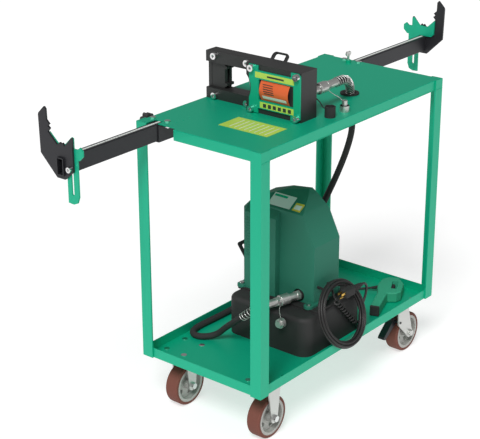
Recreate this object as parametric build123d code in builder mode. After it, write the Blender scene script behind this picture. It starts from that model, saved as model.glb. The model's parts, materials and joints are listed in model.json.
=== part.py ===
from build123d import *
import os
from math import cos, pi, radians, sin, tan

os.makedirs("parts", exist_ok=True)

# ---------------------------------------------------------------- driving dimensions (mm)
# Table. Places marked "from the table" are measured from the centre of the table's plan and the floor.
table_length = 914.4
table_width = 457.2
table_top = 938.0
tray_bottom = 188.0
sheet = 2.7
lip = 32.0
leg_side = 38.1
leg_wall = 4.8

# Support arms: plain rectangular tubes that slide in channels under the top sheet
arm_width = 25.4
arm_height = 50.8
arm_wall = 3.0
arm_length = 760.0
arm_gap = 0.5
left_arm_y = 176.5
right_arm_y = 106.0
left_reach = 342.0
right_reach = 410.0
sleeve_wall = 3.0
sleeve_length = 130.0
sleeve_flange = 27.0
sleeve_bolt_pitch = 56.0
left_sleeve_start = 20.0
right_sleeve_start = 8.5
left_bolt_inset = 25.0
right_bolt_inset = 12.0
bolt_r = 5.0
bolt_clearance = 0.3
arm_end_proud = 6.0

# Saddles at the arm ends, in the plane across the arm: s away from the arm, t above its middle
plate_wall = 6.4
post_reach = 81.0
blade_wall = 5.0
blade_gap = 0.3
blade_rise = 72.0
blade_slot_width = 9.0
blade_bolt_r = 4.0
blade_bolt_s = -33.0
blade_bolt_t = -2.0
blade_bolt_head = 9.0

# Casters
wheel_r = 67.0
wheel_width = 46.0
core_r = 57.0
core_web = 14.0
hub_r = 16.0
hub_length = 52.0
axle_r = 6.0
axle_gap = 0.05
fork_wall = 5.0
fork_side_gap = 1.0
caster_plate_x = 106.0
caster_plate_y = 92.0
caster_plate_wall = 5.0
caster_bolt_x = 84.0
caster_bolt_y = 70.0
caster_bolt_r = 4.5
rigid_x = -344.5
swivel_x = 348.0
swivel_trail = 40.0
caster_y = 161.0
kingpin_r = 10.0
race_r = 38.0
race_height = 12.0
crown_wall = 12.0

# Shear head, standing across the table: length along Y, strut passes through along X
head_back_x = -110.0
head_near_y = -155.0
head_length = 375.0
head_height = 146.0
block_length = 200.0
block_thick = 73.0
ring_thick = 35.0
keeper_thick = 12.0
opening_height = 80.0
opening_end_wall = 12.0
recess_r = 52.0
recess_mid_y = 82.0
ram_axis_x = -140.0
cylinder_r = 24.0
piston_length = 25.0
piston_gap = 0.05
rod_r = 14.0
rod_gap = 0.05
rod_front_y = 35.0
piston_back_y = -127.0
cylinder_end_y = -134.0
gland_back_y = 5.0
gland_length = 22.0
blade_thick = 10.6
cut_gap = 0.2
die_length = 58.0
die_thick = 33.0
die_slot_depth = 47.0
nest_width = 44.0
nest_depth = 8.0
screw_inset = 12.0
screw_head_r = 10.0
screw_head_height = 11.0
screw_shank_r = 5.0
guard_wall = 5.0
spring_wire_r = 2.3
spring_turns = 5

# Hose and its fittings
hose_r = 10.0
port_y = -130.0
port_height = 70.0
port_r = 9.0
thread_depth = 5.0
coupler_r = 12.0
coupler_length = 74.0
collar_r = 17.0
collar_length = 34.0
collar_gap = 0.3
ferrule_r = 12.5
ferrule_length = 56.0
grommet_x = 138.5
grommet_y = -97.0
grommet_r = 29.0
grommet_bore_r = 21.0
grommet_lip = 5.0

# Pump on the tray
tank_x = -178.0
tank_y = -182.0
tank_length = 296.0
tank_width = 312.0
tank_height = 127.0
tank_wall = 5.0
tank_corner_r = 38.0
tank_edge_r = 14.0
cover_wall = 6.0
shroud_front_x = -86.0
shroud_step = 22.0
shroud_depth = 129.0
shroud_near_y = -140.0
shroud_width = 273.0
shroud_wall = 4.0
shroud_knee = 190.0
shroud_height = 338.0
motor_r = 55.0
motor_length = 190.0
pump_port_y = -83.0
pump_port_z = 345.0
pump_port_turn = 15.0

# Hand control and cords
cord_r = 4.0
control_cord_r = 3.5
coil_r = 98.0
coil_bundle_r = 11.0
coil_tilt = 22.0
curl_r = 9.6

# ---------------------------------------------------------------- derived places
bolt_head_out = plate_wall + blade_bolt_head
x_low = -(table_length / 2 + left_reach + bolt_head_out)
x_high = table_length / 2 + right_reach + bolt_head_out
y_low = -table_width / 2
y_high = left_arm_y + post_reach
table_x = -(x_low + x_high) / 2
table_y = -(y_low + y_high) / 2

sheet_x = table_length / 2 - leg_wall
sheet_y = table_width / 2 - leg_wall
tray_floor = tray_bottom + sheet
shelf_under = table_top - sheet
arm_top = shelf_under - arm_gap
arm_mid = arm_top - arm_height / 2
plate_bottom = tray_bottom - caster_plate_wall
head_mid_x = head_back_x - ring_thick / 2
opening_low = (head_height - opening_height) / 2
tank_top = tray_floor + tank_height
cover_top = tank_top + cover_wall


def at(x, y, z):
    """A place given from the table's centre on the floor."""
    return (table_x + x, table_y + y, z)


def facing(x, y, z, normal, across=(0, 0, 1)):
    """A plane at a place from the table, with its own normal."""
    return Plane(origin=at(x, y, z), x_dir=across, z_dir=normal)


def side_plane(x):
    """A plane across the table: its x is the table's Y, its y is height."""
    return Plane(origin=at(x, 0, 0), x_dir=(0, 1, 0), z_dir=(1, 0, 0))


def front_plane(y):
    """A plane along the table: its x is the table's X, its y is height, its normal is -Y."""
    return Plane(origin=at(0, y, 0), x_dir=(1, 0, 0), z_dir=(0, -1, 0))


def finish(builder, name):
    """Label a piece and write it."""
    builder.part.label = name
    export_step(builder.part, f"parts/{name}.step")


# ---------------------------------------------------------------- table
with BuildPart(Plane(at(0, 0, table_top))) as top_shelf:
    Box(2 * sheet_x, 2 * sheet_y, lip, align=(Align.CENTER, Align.CENTER, Align.MAX))
    fillet(top_shelf.faces().sort_by(Axis.Z)[-1].edges(), sheet * 0.8)
    with Locations((0, 0, -sheet)):
        Box(2 * (sheet_x - sheet), 2 * (sheet_y - sheet), lip,
            align=(Align.CENTER, Align.CENTER, Align.MAX), mode=Mode.SUBTRACT)
    # the left end is cut back for the arm, with a slot where its scale is read
    notch_low = left_arm_y - 86
    notch_high = table_width / 2 - leg_side
    with Locations((-table_length / 2, (notch_low + notch_high) / 2, 0)):
        Box(2 * 18.5, notch_high - notch_low, 3 * lip, mode=Mode.SUBTRACT)
    with Locations((-table_length / 2, left_arm_y, 0)):
        Box(2 * 43, arm_width + 6, 3 * sheet, mode=Mode.SUBTRACT)
    # the right end is notched under the sheet only
    with Locations((table_length / 2, right_arm_y, -sheet)):
        Box(40, arm_width + 6, lip, align=(Align.CENTER, Align.CENTER, Align.MAX), mode=Mode.SUBTRACT)
    with Locations((grommet_x, grommet_y, 0)):
        Hole(radius=grommet_bore_r + 4)
    # sleeve bolts, arm lock, stop holes and head bolts
    left_bolts_x = -table_length / 2 + left_sleeve_start + left_bolt_inset
    right_bolts_x = table_length / 2 - right_sleeve_start - right_bolt_inset
    sleeve_bolt_places = []
    for bolts_x, arm_y in ((left_bolts_x, left_arm_y), (right_bolts_x, right_arm_y)):
        for side in (-0.5, 0.5):
            sleeve_bolt_places.append((bolts_x, arm_y + side * sleeve_bolt_pitch))
    with Locations(*[(x, y, 0) for x, y in sleeve_bolt_places]):
        Hole(radius=bolt_r + bolt_clearance)
    lock_x = right_bolts_x - 18
    with Locations((lock_x, right_arm_y, 0)):
        Hole(radius=4 + bolt_clearance)
    stop_row_y = 126.0
    with Locations(*[(x, stop_row_y, 0) for x in (-399, -371, -343, -293, -243)]):
        Hole(radius=2.5)
    head_bolt_places = [(head_mid_x, head_near_y + inset) for inset in (25, 120, head_length - 80)]
    with Locations(*[(x, y, 0) for x, y in head_bolt_places]):
        Hole(radius=6 + bolt_clearance)
    # the lock boss is welded on, with the lock screw's thread through it
    with Locations((lock_x, right_arm_y, 0)):
        Cylinder(radius=9, height=9, align=(Align.CENTER, Align.CENTER, Align.MIN))
        Cylinder(radius=4 + axle_gap, height=30, mode=Mode.SUBTRACT)
    # the clamp screw passes through the rear lip
    clamp_x = -390.0
    clamp_z = arm_mid + 9
    with Locations((clamp_x, sheet_y, clamp_z - table_top)):
        Cylinder(radius=4 + bolt_clearance, height=20, rotation=(90, 0, 0), mode=Mode.SUBTRACT)
finish(top_shelf, "top_shelf")

caster_bolt_places = []
for plate_x in (rigid_x, swivel_x):
    for side in (-1, 1):
        for dx in (-0.5, 0.5):
            for dy in (-0.5, 0.5):
                caster_bolt_places.append((plate_x + dx * caster_bolt_x, side * caster_y + dy * caster_bolt_y))

with BuildPart(Plane(at(0, 0, tray_bottom))) as bottom_tray:
    Box(2 * sheet_x, 2 * sheet_y, lip, align=(Align.CENTER, Align.CENTER, Align.MIN))
    fillet(bottom_tray.faces().sort_by(Axis.Z)[0].edges(), sheet * 0.8)
    with Locations((0, 0, sheet)):
        Box(2 * (sheet_x - sheet), 2 * (sheet_y - sheet), lip,
            align=(Align.CENTER, Align.CENTER, Align.MIN), mode=Mode.SUBTRACT)
    with Locations(*[(x, y, 0) for x, y in caster_bolt_places]):
        Hole(radius=caster_bolt_r + bolt_clearance)
finish(bottom_tray, "bottom_tray")

with BuildPart(Plane(at(0, 0, tray_bottom))) as legs:
    with BuildSketch(Plane(at(0, 0, tray_bottom))):
        for side_x in (-1, 1):
            for side_y in (-1, 1):
                with Locations((side_x * (table_length - leg_side) / 2, side_y * (table_width - leg_wall) / 2)):
                    Rectangle(leg_side, leg_wall)
                with Locations((side_x * (table_length - leg_wall) / 2, side_y * (table_width - leg_side) / 2)):
                    Rectangle(leg_wall, leg_side)
    extrude(amount=table_top - tray_bottom)
finish(legs, "legs")

# ---------------------------------------------------------------- support arms
left_end_x = -table_length / 2 - left_reach
right_end_x = table_length / 2 + right_reach
arms = {
    "left": {"y": left_arm_y, "out": -1, "plate": left_end_x,
             "sleeve": -table_length / 2 + left_sleeve_start},
    "right": {"y": right_arm_y, "out": 1, "plate": right_end_x,
              "sleeve": table_length / 2 - right_sleeve_start},
}
channel_width = arm_width + 2 * arm_gap
channel_depth = arm_height + 2 * arm_gap

with BuildPart() as arm_sleeves:
    for arm in arms.values():
        start = min(arm["sleeve"], arm["sleeve"] - arm["out"] * sleeve_length)
        with BuildSketch(side_plane(start)):
            with Locations((arm["y"], shelf_under - (channel_depth + sleeve_wall) / 2)):
                Rectangle(channel_width + 2 * sleeve_wall, channel_depth + sleeve_wall)
            with Locations((arm["y"], shelf_under - sleeve_wall / 2)):
                Rectangle(channel_width + 2 * sleeve_wall + 2 * sleeve_flange, sleeve_wall)
            with Locations((arm["y"], shelf_under - channel_depth / 2)):
                Rectangle(channel_width, channel_depth, mode=Mode.SUBTRACT)
        extrude(amount=sleeve_length)
    with BuildSketch(Plane(at(0, 0, shelf_under + 1))):
        with Locations(*sleeve_bolt_places):
            Circle(bolt_r + bolt_clearance)
    extrude(amount=-(sleeve_wall + 2), mode=Mode.SUBTRACT)
    with Locations(at(clamp_x, left_arm_y + arm_width, clamp_z)):
        Cylinder(radius=4 + bolt_clearance, height=arm_width + 10, rotation=(90, 0, 0), mode=Mode.SUBTRACT)
finish(arm_sleeves, "arm_sleeves")


def down_bolts(places, top, grip, radius, flat_head=False):
    """Bolts pointing down, with a hexagon or a thin round head on top and a nut under the grip."""
    nut = 1.6 * radius
    for x, y in places:
        with BuildSketch(Plane(at(x, y, top))) as head:
            if flat_head:
                Circle(2 * radius)
            else:
                RegularPolygon(radius=1.85 * radius, side_count=6)
        extrude(head.sketch, amount=1.2 if flat_head else 1.1 * radius)
        with BuildSketch(Plane(at(x, y, top))) as shank:
            Circle(radius)
        extrude(shank.sketch, amount=-(grip + nut + 3))
        with BuildSketch(Plane(at(x, y, top - grip))) as hexagon:
            RegularPolygon(radius=1.85 * radius, side_count=6)
        extrude(hexagon.sketch, amount=-nut)


# outline of the fixed saddle plate, round from the low inner corner
plate_outline = [
    (-44, -8), (-44, 87), (-40, 87), (-14, 58), (-7, 67), (-2, 62), (3, 67), (9, 60), (15, 58),
    (47, 88), (38, 98), (46, 104), (40, 110), (51, 120), (52, 150), (58, 156), (post_reach - 1, 134),
    (post_reach, 128), (post_reach - 3, 23), (18, -36), (-12, -36),
]
# outline of the sliding blade's head and of its slotted tongue
blade_outline = [
    (-55, -80), (-55, 26), (-62, 26), (-76, 40), (-76, 56), (-66, 64), (-56, 56), (-42, 56), (-42, 84),
    (-36, 87), (-11, 62), (18, 60), (48, 86), (46, 37), (35, 27), (-14, 27), (-14, -103), (-34, -104), (-48, -98),
]


def saddle_points(outline, arm):
    """Turn the outline to face the way its arm points."""
    return [(arm["y"] - arm["out"] * s, arm_mid + t) for s, t in outline]


for name, arm in arms.items():
    out = arm["out"]
    outer_end = arm["plate"] + out * (plate_wall + arm_end_proud)
    bolt_y = arm["y"] - out * blade_bolt_s
    bolt_z = arm_mid + blade_bolt_t
    with BuildPart() as arm_tube:
        with BuildSketch(side_plane(outer_end)):
            with Locations((arm["y"], arm_mid)):
                RectangleRounded(arm_width, arm_height, 2.5)
                Rectangle(arm_width - 2 * arm_wall, arm_height - 2 * arm_wall, mode=Mode.SUBTRACT)
        extrude(amount=-out * arm_length)
    finish(arm_tube, f"{name}_arm_tube")

    with BuildPart() as saddle_plate:
        with BuildSketch(side_plane(arm["plate"])):
            with BuildLine():
                Polyline(*saddle_points(plate_outline, arm), close=True)
            make_face()
            with Locations((arm["y"], arm_mid)):
                RectangleRounded(arm_width, arm_height, 2.5, mode=Mode.SUBTRACT)
            with Locations((bolt_y, bolt_z)):
                Circle(blade_bolt_r + axle_gap, mode=Mode.SUBTRACT)
        extrude(amount=out * plate_wall)
    finish(saddle_plate, f"{name}_saddle_plate")

    blade_face = arm["plate"] - out * blade_gap
    with BuildPart() as support_blade:
        with BuildSketch(side_plane(blade_face)):
            with BuildLine():
                Polyline(*saddle_points(blade_outline, arm), close=True)
            make_face()
            slot_top = bolt_z + blade_slot_width / 2
            slot_length = blade_rise + blade_slot_width
            with Locations((bolt_y, slot_top - slot_length / 2)):
                SlotOverall(slot_length, blade_slot_width, rotation=90, mode=Mode.SUBTRACT)
        extrude(amount=-out * blade_wall)
    finish(support_blade, f"{name}_support_blade")

    with BuildPart() as blade_bolt:
        outer_face = arm["plate"] + out * plate_wall
        inner_face = blade_face - out * (blade_wall + blade_gap)
        with BuildSketch(side_plane(outer_face)):
            with Locations((bolt_y, bolt_z)):
                Circle(8)
        extrude(amount=out * blade_bolt_head)
        with BuildSketch(side_plane(outer_face + out * blade_bolt_head)):
            with Locations((bolt_y, bolt_z)):
                RegularPolygon(radius=4, side_count=6)
        extrude(amount=-out * 5, mode=Mode.SUBTRACT)
        with BuildSketch(side_plane(outer_face)):
            with Locations((bolt_y, bolt_z)):
                Circle(blade_bolt_r)
        extrude(amount=-out * (plate_wall + blade_gap + blade_wall + 10))
        with BuildSketch(side_plane(inner_face)):
            with Locations((bolt_y, bolt_z)):
                RegularPolygon(radius=8.5, side_count=6)
        extrude(amount=-out * 6)
    finish(blade_bolt, f"{name}_blade_bolt")

# lobed knob: its screw passes the rear lip and the sleeve and bears on the left arm
knob_tip_y = left_arm_y + arm_width / 2 + 0.1
knob_face_y = table_width / 2 + 9.0
knob_depth = 20.0
with BuildPart() as arm_clamp_knob:
    with BuildSketch(front_plane(knob_tip_y)):
        with Locations((clamp_x, clamp_z)):
            Circle(4)
    extrude(amount=-(knob_face_y - knob_tip_y + 2))
    with BuildSketch(front_plane(knob_face_y)):
        with Locations((clamp_x, clamp_z)):
            Circle(17)
            with PolarLocations(17, 7):
                Circle(6)
    extrude(amount=-knob_depth)
finish(arm_clamp_knob, "arm_clamp_knob")

# wing screw: threads down through the boss and bears on the right arm
with BuildPart() as arm_wing_screw:
    with BuildSketch(Plane(at(lock_x, right_arm_y, arm_top + 0.1))):
        Circle(4)
    extrude(amount=32)
    with BuildSketch(facing(lock_x, right_arm_y, table_top + 22, (0, -1, 0), across=(1, 0, 0))):
        with Locations((0, 8)):
            Ellipse(13, 9)
        with Locations((0, 21)):
            Circle(8, mode=Mode.SUBTRACT)
    extrude(amount=2.5, both=True)
finish(arm_wing_screw, "arm_wing_screw")

# ---------------------------------------------------------------- casters
axle_z = wheel_r
fork_inner = hub_length + 2 * fork_side_gap
fork_outer = fork_inner + 2 * fork_wall
wheels = {
    "rigid_left": (rigid_x, caster_y),
    "rigid_right": (rigid_x, -caster_y),
    "swivel_left": (swivel_x + swivel_trail, caster_y),
    "swivel_right": (swivel_x + swivel_trail, -caster_y),
}

with BuildPart() as rigid_forks:
    for side in (-1, 1):
        with Locations(at(rigid_x, side * caster_y, plate_bottom)):
            Box(caster_plate_x, caster_plate_y, caster_plate_wall, align=(Align.CENTER, Align.CENTER, Align.MIN))
        for cheek in (-1, 1):
            cheek_y = side * caster_y + cheek * (fork_inner / 2 if cheek > 0 else fork_outer / 2)
            with BuildSketch(front_plane(cheek_y)):
                with BuildLine():
                    Polyline((rigid_x - 30, plate_bottom), (rigid_x - 15, axle_z), (rigid_x + 15, axle_z),
                             (rigid_x + 30, plate_bottom), close=True)
                make_face()
                with Locations((rigid_x, axle_z)):
                    Circle(16)
                    Circle(axle_r, mode=Mode.SUBTRACT)
            extrude(amount=-fork_wall)
    with BuildSketch(Plane(at(0, 0, plate_bottom))):
        with Locations(*caster_bolt_places[:8]):
            Circle(caster_bolt_r + bolt_clearance)
    extrude(amount=caster_plate_wall, mode=Mode.SUBTRACT)
finish(rigid_forks, "rigid_forks")

crown_top = plate_bottom - race_height
kingpin_length = race_height + crown_wall + 6
with BuildPart() as swivel_plates:
    for side in (-1, 1):
        with Locations(at(swivel_x, side * caster_y, plate_bottom)):
            Box(caster_plate_x, caster_plate_y, caster_plate_wall, align=(Align.CENTER, Align.CENTER, Align.MIN))
            Cylinder(race_r, race_height - collar_gap, align=(Align.CENTER, Align.CENTER, Align.MAX))
            Cylinder(kingpin_r, kingpin_length, align=(Align.CENTER, Align.CENTER, Align.MAX))
        with Locations(at(swivel_x, side * caster_y, crown_top - crown_wall - collar_gap)):
            Cylinder(kingpin_r + 5, 6, align=(Align.CENTER, Align.CENTER, Align.MAX))
    with BuildSketch(Plane(at(0, 0, plate_bottom))):
        with Locations(*caster_bolt_places[8:]):
            Circle(caster_bolt_r + bolt_clearance)
    extrude(amount=caster_plate_wall, mode=Mode.SUBTRACT)
finish(swivel_plates, "swivel_plates")

pedal_x = swivel_x - 19.0
pedal_z = 124.0
pedal_pin_r = 4.0
pedal_width = 24.0
for side, side_name in ((1, "left"), (-1, "right")):
    mid_y = side * caster_y
    wheel_x = swivel_x + swivel_trail
    with BuildPart() as swivel_fork:
        with Locations(at(swivel_x, mid_y, crown_top)):
            Cylinder(race_r + 2, crown_wall, align=(Align.CENTER, Align.CENTER, Align.MAX))
            Cylinder(kingpin_r + axle_gap, 3 * crown_wall, mode=Mode.SUBTRACT)
        for cheek in (-1, 1):
            cheek_y = mid_y + cheek * (fork_inner / 2 if cheek > 0 else fork_outer / 2)
            with BuildSketch(front_plane(cheek_y)):
                with BuildLine():
                    Polyline((swivel_x - 28, crown_top), (swivel_x - 28, pedal_z - 8), (wheel_x - 14, axle_z - 8),
                             (wheel_x + 14, axle_z), (swivel_x + 26, crown_top), close=True)
                make_face()
                with Locations((wheel_x, axle_z)):
                    Circle(16)
                    Circle(axle_r, mode=Mode.SUBTRACT)
                with Locations((pedal_x, pedal_z)):
                    Circle(pedal_pin_r + axle_gap, mode=Mode.SUBTRACT)
            extrude(amount=-fork_wall)
    finish(swivel_fork, f"swivel_fork_{side_name}")

    with BuildPart() as brake_pedal:
        with BuildSketch(front_plane(mid_y + pedal_width / 2)):
            with BuildLine():
                Polyline((pedal_x + 2, pedal_z + 7), (pedal_x + 2, pedal_z - 11), (pedal_x - 8, pedal_z - 16),
                         (pedal_x - 56, pedal_z - 48), (pedal_x - 66, pedal_z - 44), (pedal_x - 63, pedal_z - 36),
                         (pedal_x - 14, pedal_z + 7), close=True)
            make_face()
        extrude(amount=pedal_width)
        with Locations(Location(at(pedal_x, mid_y, pedal_z), (90, 0, 0))):
            Cylinder(pedal_pin_r, fork_outer + 4)
    finish(brake_pedal, f"brake_pedal_{side_name}")


def axle_bolt(x, y):
    """Axle bolt across a fork, head on the outside of one cheek and nut on the other."""
    low = y - fork_outer / 2
    high = y + fork_outer / 2
    for start, length, radius, sides in ((high, fork_outer, axle_r, 0), (high, -7, 10.5, 6), (low, 9, 10.5, 6)):
        with BuildSketch(front_plane(start)) as section:
            with Locations((x, axle_z)):
                if sides:
                    RegularPolygon(radius=radius, side_count=sides)
                else:
                    Circle(radius)
        extrude(section.sketch, amount=length)


for side, side_name in ((1, "left"), (-1, "right")):
    with BuildPart() as swivel_axle:
        axle_bolt(swivel_x + swivel_trail, side * caster_y)
    finish(swivel_axle, f"swivel_axle_{side_name}")

for name, (x, y) in wheels.items():
    with BuildPart() as tyre:
        with BuildSketch(front_plane(y)):
            with Locations((x, axle_z)):
                Circle(wheel_r)
                Circle(core_r, mode=Mode.SUBTRACT)
        extrude(amount=wheel_width / 2, both=True)
        fillet(tyre.edges().filter_by(GeomType.CIRCLE).group_by(SortBy.RADIUS)[-1], 6)
    finish(tyre, f"tyre_{name}")

    with BuildPart() as wheel_core:
        with BuildSketch(front_plane(y)):
            with Locations((x, axle_z)):
                Circle(core_r)
                Circle(core_r - 9, mode=Mode.SUBTRACT)
        extrude(amount=wheel_width / 2 - 1, both=True)
        with BuildSketch(front_plane(y)):
            with Locations((x, axle_z)):
                Circle(core_r - 8)
                with PolarLocations(34, 5):
                    Circle(8, mode=Mode.SUBTRACT)
        extrude(amount=core_web / 2, both=True)
        with BuildSketch(front_plane(y)):
            with Locations((x, axle_z)):
                Circle(hub_r)
        extrude(amount=hub_length / 2, both=True)
        with BuildSketch(front_plane(y)):
            with Locations((x, axle_z)):
                Circle(axle_r + axle_gap)
        extrude(amount=hub_length, both=True, mode=Mode.SUBTRACT)
    finish(wheel_core, f"wheel_core_{name}")

# ---------------------------------------------------------------- shear head
head_far_edge = head_near_y + head_length
block_edge = head_near_y + block_length
opening_far = head_far_edge - opening_end_wall
low_z = table_top + opening_low
high_z = low_z + opening_height
axis_z = table_top + head_height / 2
ring_front_x = head_back_x - ring_thick
keeper_front_x = ring_front_x - keeper_thick
block_front_x = head_back_x - block_thick
recess_half = opening_height / 2
recess_edge_y = recess_mid_y - (recess_r ** 2 - recess_half ** 2) ** 0.5
recess_end_y = recess_mid_y - recess_r
head_screws = [
    (keeper_front_x, head_far_edge - 35, table_top + screw_inset),
    (keeper_front_x, block_edge + 15, table_top + screw_inset),
    (keeper_front_x, head_far_edge - 35, table_top + head_height - screw_inset),
    (keeper_front_x, block_edge + 15, table_top + head_height - screw_inset),
]
guard_screws = [
    (block_front_x - guard_wall, y, z)
    for y in (head_near_y + screw_inset, block_edge - 25)
    for z in (table_top + screw_inset, table_top + head_height - screw_inset)
]

with BuildPart() as head_frame:
    with BuildSketch(side_plane(ring_front_x)):
        with BuildLine():
            Polyline((head_near_y, table_top), (head_far_edge, table_top), (head_far_edge, table_top + head_height),
                     (head_near_y, table_top + head_height), close=True)
        make_face()
    extrude(amount=ring_thick)
    with BuildSketch(side_plane(block_front_x)):
        with BuildLine():
            Polyline((head_near_y, table_top), (block_edge, table_top), (block_edge, table_top + head_height),
                     (head_near_y, table_top + head_height), close=True)
        make_face()
    extrude(amount=block_thick)
    # the opening the strut passes through, with its round end in the block
    with BuildSketch(side_plane(block_front_x - 1)):
        with BuildLine():
            Polyline((recess_edge_y, low_z), (opening_far, low_z), (opening_far, high_z), (recess_edge_y, high_z))
            ThreePointArc((recess_edge_y, high_z), (recess_end_y, axis_z), (recess_edge_y, low_z))
        make_face()
    extrude(amount=block_thick + 2, mode=Mode.SUBTRACT)
    # cylinder and the fluid port from the back
    with BuildSketch(front_plane(recess_mid_y)):
        with Locations((ram_axis_x, axis_z)):
            Circle(cylinder_r)
    extrude(amount=recess_mid_y - cylinder_end_y, mode=Mode.SUBTRACT)
    with BuildSketch(facing(head_back_x, port_y, table_top + port_height, (-1, 0, 0), across=(0, 1, 0))):
        Circle(port_r)
    extrude(amount=thread_depth, mode=Mode.SUBTRACT)
    with BuildSketch(facing(head_back_x, port_y, table_top + port_height, (-1, 0, 0), across=(0, 1, 0))):
        Circle(2.5)
    extrude(amount=-ram_axis_x + head_back_x, mode=Mode.SUBTRACT)
    # tapped holes for the screws
    for x, y, z in head_screws + guard_screws:
        with BuildSketch(facing(x, y, z, (1, 0, 0), across=(0, 1, 0))):
            Circle(screw_shank_r)
        extrude(amount=34, mode=Mode.SUBTRACT)
    with BuildSketch(Plane(at(0, 0, table_top))):
        with Locations(*head_bolt_places):
            Circle(6)
    extrude(amount=18, mode=Mode.SUBTRACT)
    for z in (low_z + 18, high_z - 18):
        with BuildSketch(facing(head_mid_x, head_far_edge, z, (0, -1, 0), across=(1, 0, 0))):
            Circle(4)
        extrude(amount=opening_end_wall, mode=Mode.SUBTRACT)
finish(head_frame, "head_frame")

with BuildPart() as keeper_bars:
    for z in (table_top + 0.2, high_z + 0.2):
        with BuildSketch(side_plane(keeper_front_x)):
            with Locations(((block_edge + 0.4 + head_far_edge) / 2, z + opening_low / 2 - 0.2)):
                Rectangle(head_far_edge - block_edge - 0.4, opening_low - 0.4)
        extrude(amount=keeper_thick)
    for x, y, z in head_screws:
        with BuildSketch(facing(x - 1, y, z, (1, 0, 0), across=(0, 1, 0))):
            Circle(screw_shank_r)
        extrude(amount=keeper_thick + 2, mode=Mode.SUBTRACT)
finish(keeper_bars, "keeper_bars")


def cap_screw(seat, radius, head_r, head_height, length):
    """Socket cap screw driven along the seat plane's normal, its head standing out behind the plane."""
    with BuildSketch(seat) as shank:
        Circle(radius)
    extrude(shank.sketch, amount=length)
    with BuildSketch(seat) as head:
        Circle(head_r)
    extrude(head.sketch, amount=-head_height)
    with BuildSketch(seat.offset(-head_height)) as socket:
        RegularPolygon(radius=head_r * 0.5, side_count=6)
    extrude(socket.sketch, amount=head_height * 0.5, mode=Mode.SUBTRACT)


with BuildPart() as head_bolts:
    for x, y, z in head_screws + guard_screws:
        seat = facing(x, y, z, (1, 0, 0), across=(0, 1, 0))
        cap_screw(seat, screw_shank_r, screw_head_r, screw_head_height, 32)
    for z in (low_z + 18, high_z - 18):
        seat = facing(head_mid_x, head_far_edge, z, (0, -1, 0), across=(1, 0, 0))
        cap_screw(seat, 4, 7.5, 7, opening_end_wall + 12)
finish(head_bolts, "head_bolts")

die_near_y = opening_far - cut_gap - die_length
die_height = opening_height - 2 * cut_gap
cut_mid_x = head_mid_x + 1
with BuildPart() as fixed_die:
    with BuildSketch(side_plane(ring_front_x + 1)):
        with Locations((die_near_y + die_length / 2, axis_z)):
            Rectangle(die_length, die_height)
        with Locations((die_near_y, axis_z)):
            Rectangle(2 * nest_depth, nest_width, mode=Mode.SUBTRACT)
            with GridLocations(0, die_height, 1, 2):
                Circle(10, mode=Mode.SUBTRACT)
    extrude(amount=die_thick)
    with Locations(at(cut_mid_x, die_near_y, axis_z)):
        Box(blade_thick + 2 * cut_gap, 2 * die_slot_depth, die_height + 1, mode=Mode.SUBTRACT)
    for z in (low_z + 18, high_z - 18):
        with BuildSketch(facing(head_mid_x, opening_far + 1, z, (0, -1, 0), across=(1, 0, 0))):
            Circle(4)
        extrude(amount=14, mode=Mode.SUBTRACT)
finish(fixed_die, "fixed_die")

with BuildPart() as ram:
    with BuildSketch(front_plane(piston_back_y)):
        with Locations((ram_axis_x, axis_z)):
            Circle(cylinder_r - piston_gap)
    extrude(amount=-piston_length)
    with BuildSketch(front_plane(piston_back_y)):
        with Locations((ram_axis_x, axis_z)):
            Circle(rod_r)
    extrude(amount=-(rod_front_y - piston_back_y))
finish(ram, "ram")

blade_height = nest_width - 2.0
blade_tip_y = rod_front_y + 12 + 30
with BuildPart() as moving_blade:
    with Locations(at((ram_axis_x - rod_r + cut_mid_x + blade_thick / 2) / 2, rod_front_y + 6, axis_z)):
        Box(cut_mid_x + blade_thick / 2 - (ram_axis_x - rod_r), 12, blade_height)
    with BuildSketch(side_plane(cut_mid_x - blade_thick / 2)):
        with BuildLine():
            Polyline((rod_front_y + 11, axis_z - blade_height / 2), (blade_tip_y - 6, axis_z - blade_height / 2),
                     (blade_tip_y, axis_z), (blade_tip_y - 6, axis_z + blade_height / 2),
                     (rod_front_y + 11, axis_z + blade_height / 2), close=True)
        make_face()
    extrude(amount=blade_thick)
    with BuildSketch(facing(ram_axis_x - 3, rod_front_y + 12, axis_z, (0, 1, 0), across=(1, 0, 0))):
        Circle(6)
    extrude(amount=6)
finish(moving_blade, "moving_blade")

with BuildPart() as cylinder_gland:
    with BuildSketch(front_plane(gland_back_y)):
        with Locations((ram_axis_x, axis_z)):
            Circle(cylinder_r)
            Circle(rod_r + rod_gap, mode=Mode.SUBTRACT)
    extrude(amount=-gland_length)
finish(cylinder_gland, "cylinder_gland")

spring_space = gland_back_y - (piston_back_y + piston_length)
spring_coil_r = (rod_r + cylinder_r) / 2
spring_height = spring_space - 2 * spring_wire_r - 0.6
spring_start = at(ram_axis_x, piston_back_y + piston_length + spring_wire_r + 0.3, axis_z)
coil = Helix(pitch=spring_height / spring_turns, height=spring_height, radius=spring_coil_r,
             center=spring_start, direction=(0, 1, 0))
with BuildPart() as return_spring:
    with BuildSketch(Plane(origin=coil @ 0, z_dir=coil % 0)):
        Circle(spring_wire_r)
    sweep(path=coil, is_frenet=True)
finish(return_spring, "return_spring")

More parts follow.
